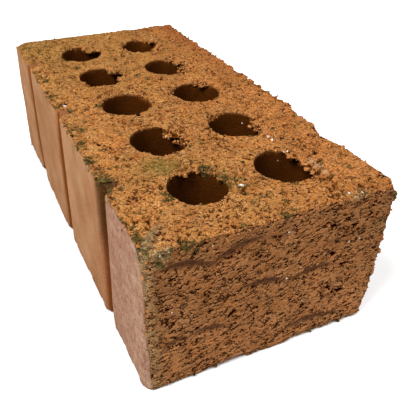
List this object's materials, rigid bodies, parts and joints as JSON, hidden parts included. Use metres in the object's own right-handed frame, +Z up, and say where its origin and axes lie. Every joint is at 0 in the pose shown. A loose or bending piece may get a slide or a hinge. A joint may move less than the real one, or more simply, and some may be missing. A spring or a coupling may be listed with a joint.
{
  "type": "perforated clay brick",
  "caption": "Extruded fired-clay wall brick: rows of round through cores, vertical key grooves in the smooth stretcher, rough dragged texture on the other sides.",
  "frame": {"origin": "centre of the lower bed, at floor level", "axes": "+X along the length, towards the rough header seen in the picture; -Y is the smooth grooved stretcher; +Z is up, along the cores"},
  "size_m": [0.23, 0.113, 0.076],
  "materials": {
    "fired_clay": "rough unglazed"
  },
  "bodies": {
    "root": {"brick": "fired_clay"}
  },
  "joints": []
}
